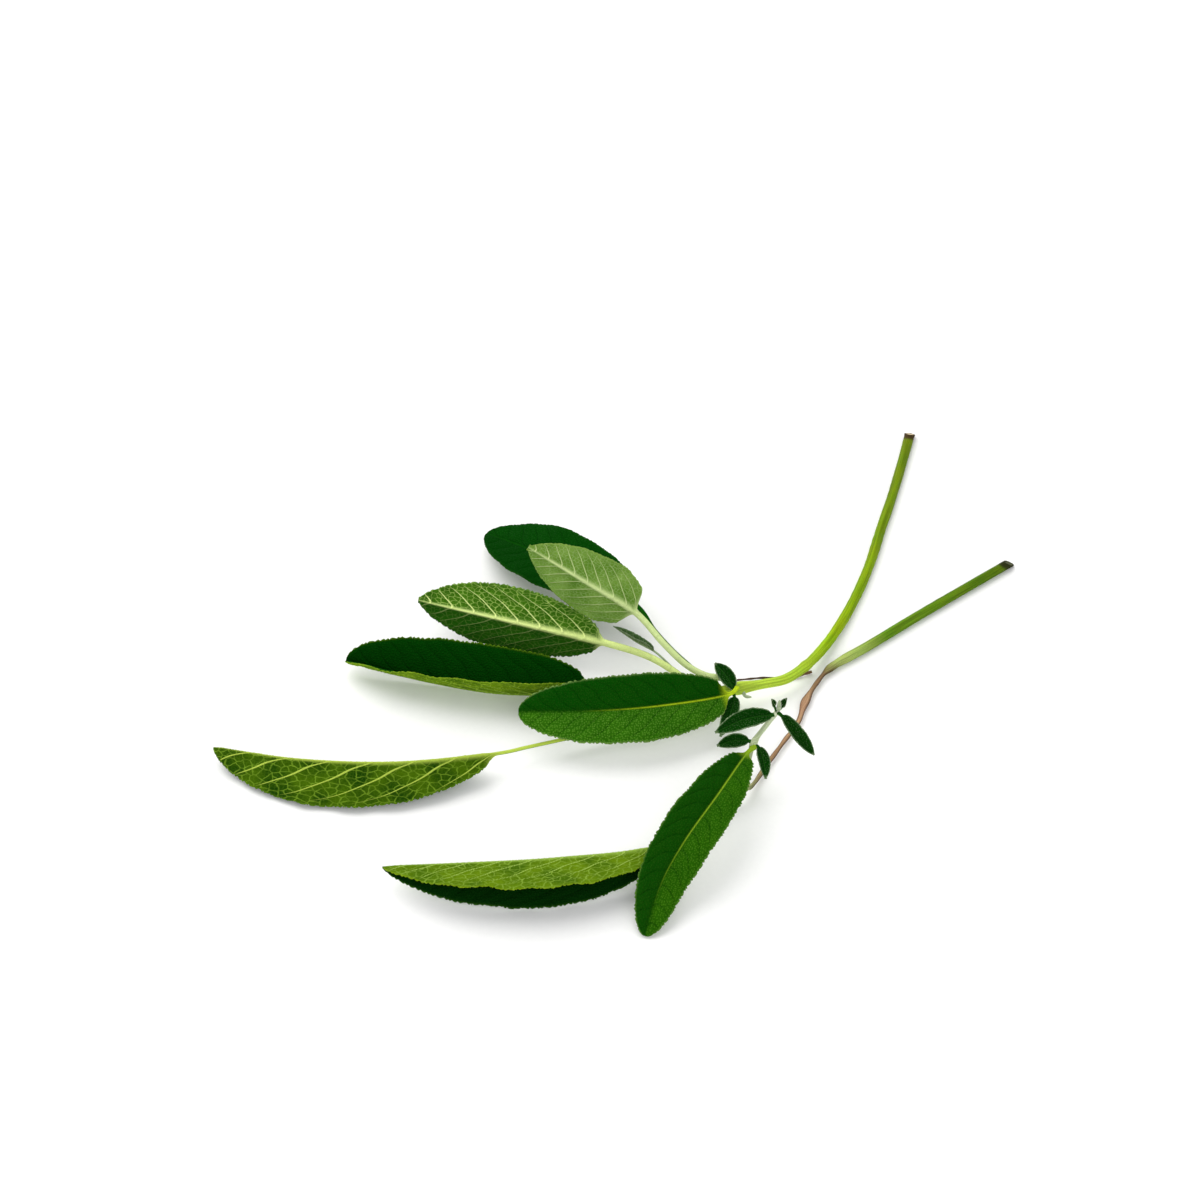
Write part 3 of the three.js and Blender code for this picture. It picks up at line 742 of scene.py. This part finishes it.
YOUNG_LEAVES = {
    "narrow_leaf": dict(
        line=[(19.4, -5.8, 3.9), (13.6, -1.4, 5.4), (8.7, 2.2, 8), (4.4, 3.4, 10.2),
              (-0.2, 5.2, 12.6)],
        base=2, face=((-0.5, 0.3, 0.8), (-0.5, 0.3, 0.8)), half=1.4, petiole=0.22,
        left=(50, 60), seed=101),
    "upper_axil_leaf": dict(
        line=[(25.4, -7.5, 6.6), (23.8, -5.2, 8.2), (21.5, -2.6, 9.4)],
        face=((0.3, -0.7, 0.7), (0.2, -0.7, 0.7)), half=1.8, seed=102),
    "lower_axil_leaf": dict(
        line=[(25.6, -8.6, 5.4), (24.8, -13, 5.2), (22.4, -20, 5)],
        face=((0, -0.5, 0.86), (0, -0.5, 0.86)), half=1.8, seed=103),
    "lower_pair_left": dict(
        line=[(28.2, -26.4, 10.5), (25, -26.2, 10.4), (21.4, -27.1, 9.8)],
        face=((0, -0.6, 0.8), (0, -0.6, 0.8)), half=1.6, seed=104),
    "lower_pair_right": dict(
        line=[(30, -27.5, 9.9), (31.1, -30.4, 9), (31.5, -33.9, 7)],
        face=((0.2, -0.4, 0.8), (0.2, -0.4, 0.8)), half=1.4, seed=105),
    "upper_pair_left": dict(
        line=[(33, -24.6, 16.6), (27.4, -25.6, 16.4), (20.9, -27.8, 14.6)],
        face=((0, -0.6, 0.8), (0, -0.6, 0.8)), half=2.1, seed=106),
    "upper_pair_right": dict(
        line=[(34.6, -24.8, 16.8), (37.2, -27.4, 14.2), (41.7, -29.4, 9.4)],
        face=((0.5, -0.4, 0.6), (0.5, -0.4, 0.6)), half=2.1, left=(30, 34), seed=107),
    "tip_leaf_left": dict(
        line=[(33.3, -24, 18.4), (32.9, -23.9, 19.4), (32.6, -23.9, 20.6)],
        face=((0.5, -0.5, 0.5), (0.5, -0.5, 0.5)), half=0.8, petiole=0.2, left=(30, 30),
        seed=108),
    "tip_leaf_right": dict(
        line=[(34.9, -24, 18.4), (35.4, -23.9, 19.6), (35.8, -23.9, 20.9)],
        face=((-0.5, -0.5, 0.5), (-0.5, -0.5, 0.5)), half=0.9, petiole=0.2, left=(30, 30),
        seed=109),
}

# Which leaves grow from the side stem; the rest grow from the main stem.
ON_SIDE_STEM = ("shoot_leaf", "folded_leaf", "lower_pair_left", "lower_pair_right",
                "upper_pair_left", "upper_pair_right", "tip_leaf_left", "tip_leaf_right")
# Which young leaves are still pale and woolly on both sides.
WOOLLY = ("narrow_leaf",)

# Each big leaf has colours of its own, set lighter or darker for the light that falls on it: the
# leaf's own colour with painted light and shade.
# Colours of the big leaves' upper sides: in the shade, on sunlit domes, the midrib, the rim.
UPPER_SIDES = {
    "back_leaf": ((0.0004, 0.034, 0.0003), (0.002, 0.072, 0.001), (0.004, 0.075, 0.001),
                  (0.015, 0.10, 0.005)),
    "cupped_leaf": ((0.0002, 0.034, 0.0002), (0.001, 0.095, 0.0006), (0.001, 0.05, 0.0005),
                    (0.15, 0.27, 0.010)),
    "front_leaf": ((0.0004, 0.050, 0.0003), (0.054, 0.20, 0.005), (0.46, 0.62, 0.015),
                   (0.26, 0.40, 0.11)),
    "shoot_leaf": ((0.0015, 0.046, 0.0005), (0.036, 0.145, 0.001), (0.26, 0.42, 0.02),
                   (0.13, 0.26, 0.04)),
    # The folded leaf's upper side lies inside its fold, so its colours are painted dark: painted
    # shade inside the fold.
    "folded_leaf": ((0.0004, 0.018, 0.0003), (0.001, 0.035, 0.001), (0.004, 0.06, 0.002),
                    (0.05, 0.16, 0.01)),
}
HIDDEN_UPPER = ((0.001, 0.035, 0.001), (0.010, 0.10, 0.003), (0.12, 0.25, 0.02),
                (0.10, 0.20, 0.04))
# And of their undersides: the hollows, other hollows, the net of veins, the midrib, the rim,
# with the cells that the net has to a mm.
UNDERSIDES = {
    "pale_leaf": ((0.085, 0.20, 0.014), (0.19, 0.33, 0.055), (0.34, 0.50, 0.16),
                  (0.62, 0.75, 0.32), (0.26, 0.40, 0.08), 1.7),
    "veined_leaf": ((0.022, 0.100, 0.001), (0.050, 0.160, 0.004), (0.38, 0.56, 0.12),
                    (0.76, 0.90, 0.32), (0.20, 0.34, 0.06), 1.15),
    "cupped_leaf": ((0.050, 0.13, 0.001), (0.15, 0.27, 0.004), (0.32, 0.50, 0.03),
                    (0.36, 0.54, 0.08), (0.30, 0.46, 0.03), 0.9),
    "long_leaf": ((0.007, 0.042, 0.0002), (0.052, 0.120, 0.001), (0.17, 0.30, 0.02),
                  (0.46, 0.60, 0.08), (0.16, 0.30, 0.02), 0.75),
    "folded_leaf": ((0.045, 0.11, 0.001), (0.110, 0.20, 0.002), (0.22, 0.36, 0.04),
                    (0.32, 0.48, 0.08), (0.24, 0.36, 0.01), 0.8),
}
HIDDEN_UNDER = ((0.06, 0.14, 0.015), (0.10, 0.19, 0.03), (0.24, 0.36, 0.10),
                (0.38, 0.54, 0.12), (0.24, 0.36, 0.10))


def add_leaves():
    usual = dict(widest=0.42, taper=(0.5, 0.75), columns=36, grid=0.22, tooth=0.38, quilt=0.2,
                 lamina=0.42, ruffle=3.0, rib_end=1.2, rim_width=0.4, sunlit=(1.0, 1.0))
    for name, drawn in LEAVES.items():
        spec = dict(usual, **drawn)
        spec.setdefault("right", spec["left"])
        spec["skins"] = [upper_side(name + "_above", *UPPER_SIDES.get(name, HIDDEN_UPPER)),
                         underside(name + "_below", *UNDERSIDES.get(name, HIDDEN_UNDER))]
        stem = side_stem if name in ON_SIDE_STEM else main_stem
        leaf(name, spec, stem)
    above = upper_side("young_above", (0.0010, 0.028, 0.0005), (0.007, 0.068, 0.002),
                       (0.012, 0.075, 0.006), (0.36, 0.48, 0.27))
    below = underside("young_below", (0.14, 0.20, 0.09), (0.10, 0.15, 0.06), (0.34, 0.42, 0.24),
                      (0.36, 0.46, 0.26), (0.40, 0.48, 0.32))
    usual.update(left=(14, 20), taper=(0.55, 0.8), base=0, petiole=0.3,
                 vein=veins(1.6, 0.9, 0.1, 0.1), columns=18, grid=0.1, tooth=0.16, quilt=0.12,
                 lamina=0.5, ruffle=6.0, rim_width=0.28, sunlit=(0.6, 0.3))
    for name, drawn in YOUNG_LEAVES.items():
        spec = dict(usual, **drawn)
        spec.setdefault("right", spec["left"])
        spec["skins"] = [below if name in WOOLLY else above, below]
        leaf(name, spec, side_stem if name in ON_SIDE_STEM else main_stem)


# ---------------------------------------------------------------------------------------------
# Buds, as drawn in the CAD
# ---------------------------------------------------------------------------------------------
BUD_IN_STEM = 0.6  # share of the way from the drawn foot to the stem's middle
BUDS = {
    "axil_bud": dict(line=[(28, -7.6, 4.4), (29.3, -7.9, 4.4)], radius=0.45, stem=main_stem),
    "shoot_tip_bud": dict(line=[(34.1, -24.2, 17.6), (34.3, -24.3, 20.6)], radius=0.5,
                          stem=side_stem),
    "stem_tip_bud": dict(line=[(8.9, -11.2, 4.6), (6.6, -12, 4.8)], radius=0.6,
                         stem=main_stem),
}


def add_buds():
    skin = bud_skin("bud_skin", (0.20, 0.30, 0.12), (0.55, 0.62, 0.42))
    for name, bud in BUDS.items():
        curve = Curve(bud["line"])
        foot = curve.points[0]
        curve = Curve(bud["line"], foot + (bud["stem"].nearest(foot) - foot) * BUD_IN_STEM)

        def size(t, radius=bud["radius"]):
            scales = 1 + 0.1 * math.sin(9 * t)
            around = radius * (0.3 + 0.7 * math.sin(math.pi * t ** 0.8)) * scales
            return around * 0.9, around
        stem_mesh(name, curve, size, skin, sides=24, step=0.08, cut=False, square=0.08,
                  seed=len(name))


# ---------------------------------------------------------------------------------------------
# The scene
# ---------------------------------------------------------------------------------------------
def add_floor():
    mesh = bpy.data.meshes.new("floor")
    half = 4.0  # m
    mesh.from_pydata([(-half, -half, 0), (half, -half, 0), (half, half, 0), (-half, half, 0)], [],
                     [(0, 1, 2, 3)])
    mesh.materials.append(floor_paper())
    floor = bpy.data.objects.new("floor", mesh)
    bpy.context.scene.collection.objects.link(floor)


add_stems()
add_leaves()
add_buds()
add_floor()
add_lights()
add_camera()
bpy.context.scene.view_settings.view_transform = "Standard"
bpy.context.view_layer.update()
